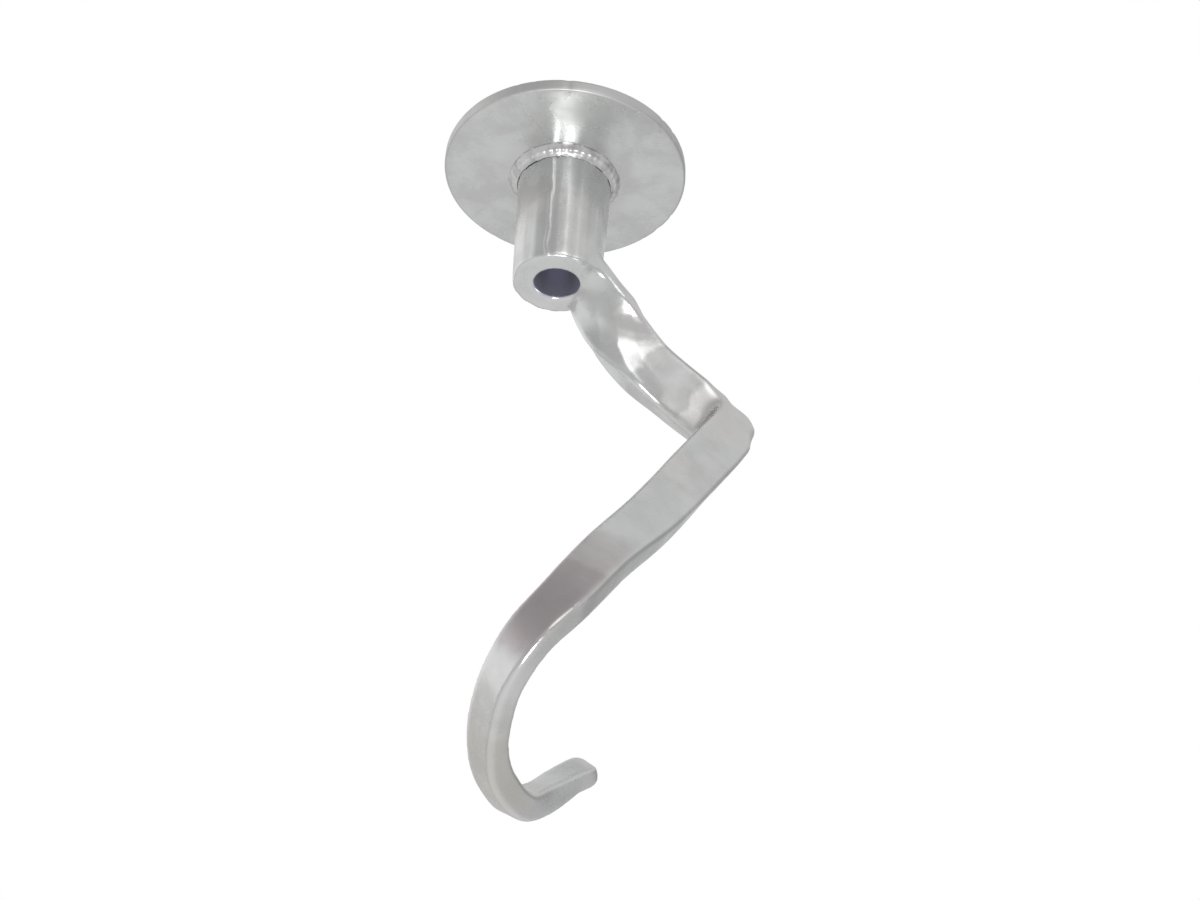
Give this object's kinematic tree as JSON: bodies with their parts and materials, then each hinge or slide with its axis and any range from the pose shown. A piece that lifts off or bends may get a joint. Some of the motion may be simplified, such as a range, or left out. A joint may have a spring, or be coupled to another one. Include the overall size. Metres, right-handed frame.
{
  "type": "dough hook",
  "caption": "Spiral dough hook for a planetary mixer, cast in aluminium, with a round splash disc welded to its bored hub.",
  "frame": {"origin": "centre of the drive bore's upper mouth, on the hub's top face", "axes": "+Z along the mixer's shaft line, up into the mixer; the arm leaves the hub towards +X"},
  "size_m": [0.139, 0.1245, 0.3223],
  "materials": {
    "cast_aluminium": "burnished",
    "turned_aluminium": "satin",
    "weld_aluminium": "rough"
  },
  "bodies": {
    "root": {"hook_casting": "cast_aluminium", "splash_disc": "turned_aluminium", "weld_bead": "weld_aluminium"}
  },
  "joints": []
}
